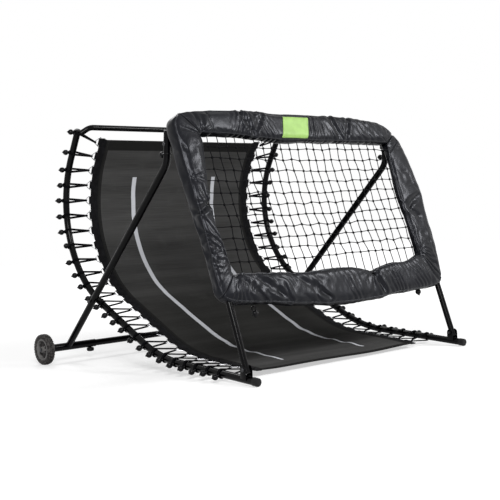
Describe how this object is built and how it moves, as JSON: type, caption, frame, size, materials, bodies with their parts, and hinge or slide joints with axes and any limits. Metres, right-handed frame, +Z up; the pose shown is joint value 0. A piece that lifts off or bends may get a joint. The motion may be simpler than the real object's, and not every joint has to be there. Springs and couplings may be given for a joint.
{
  "type": "soccer rebounder",
  "caption": "Two-way soccer rebounder: a curved woven mat held by ball bungees between bent side rails, and a padded net frame hinged in front, with transport wheels at the back.",
  "frame": {"origin": "on the floor under the middle of the object's bounding box", "axes": "+X to the right as seen from the net side, along the axle; +Y from the net back to the wheels; +Z up; the net faces -Y"},
  "size_m": [1.704, 1.458, 1.1569],
  "materials": {
    "black_steel": "gloss black powder coat",
    "zinc_bolts": "zinc plated",
    "black_plastic": "moulded, matte",
    "grey_hub": "moulded, light grey",
    "tyre_rubber": "matte rubber",
    "mat_weave": "woven polypropylene",
    "webbing": "woven webbing and shock cord",
    "pad_vinyl": "coated cover over foam",
    "net_cord": "knotted cord",
    "green_patch": "plain printed patch"
  },
  "bodies": {
    "stand": {"left_rail_front": "black_steel", "left_rail_back": "black_steel", "left_rail_splice": "black_steel", "left_strut": "black_steel", "left_hinge_bracket": "black_steel", "left_top_bar_bolt": "zinc_bolts", "left_strut_bolt": "zinc_bolts", "left_strut_nut": "zinc_bolts", "left_strut_pin": "zinc_bolts", "left_hinge_bolt": "zinc_bolts", "left_hinge_nut": "zinc_bolts", "left_axle": "zinc_bolts", "left_front_foot": "black_plastic", "left_rail_cap": "black_plastic", "left_strut_cap": "black_plastic", "left_strut_spacer": "black_plastic", "left_sleeve_knob": "black_plastic", "left_axle_plug": "black_plastic", "left_bungee_row": "webbing", "left_strut_tie": "webbing", "right_rail_front": "black_steel", "right_rail_back": "black_steel", "right_rail_splice": "black_steel", "right_strut": "black_steel", "right_hinge_bracket": "black_steel", "right_top_bar_bolt": "zinc_bolts", "right_strut_bolt": "zinc_bolts", "right_strut_nut": "zinc_bolts", "right_strut_pin": "zinc_bolts", "right_hinge_bolt": "zinc_bolts", "right_hinge_nut": "zinc_bolts", "right_axle": "zinc_bolts", "right_front_foot": "black_plastic", "right_rail_cap": "black_plastic", "right_strut_cap": "black_plastic", "right_strut_spacer": "black_plastic", "right_sleeve_knob": "black_plastic", "right_axle_plug": "black_plastic", "right_bungee_row": "webbing", "right_strut_tie": "webbing", "top_bar": "black_steel", "rear_crossbar": "black_steel", "mat": "mat_weave"},
    "left_wheel": {"left_tyre": "tyre_rubber", "left_hub": "grey_hub"},
    "right_wheel": {"right_tyre": "tyre_rubber", "right_hub": "grey_hub"},
    "net_panel": {"net_frame": "black_steel", "net_frame_lower_bar": "black_steel", "net": "net_cord", "green_patch": "green_patch", "top_pad": "pad_vinyl", "bottom_pad": "pad_vinyl", "left_pad": "pad_vinyl", "left_leg_plug": "black_plastic", "left_pad_tie": "webbing", "right_pad": "pad_vinyl", "right_leg_plug": "black_plastic", "right_pad_tie": "webbing"}
  },
  "joints": [
    {"name": "left_wheel_spin", "type": "hinge", "parent": "stand", "child": "left_wheel", "pos_m": [-0.828, 0.654, 0.075], "axis": [1, 0, 0], "continuous": true},
    {"name": "right_wheel_spin", "type": "hinge", "parent": "stand", "child": "right_wheel", "pos_m": [0.828, 0.654, 0.075], "axis": [1, 0, 0], "continuous": true},
    {"name": "net_panel_fold", "type": "hinge", "parent": "stand", "child": "net_panel", "pos_m": [0, -0.656, 0.064], "axis": [1, 0, 0], "range_deg": [0, 105]}
  ]
}
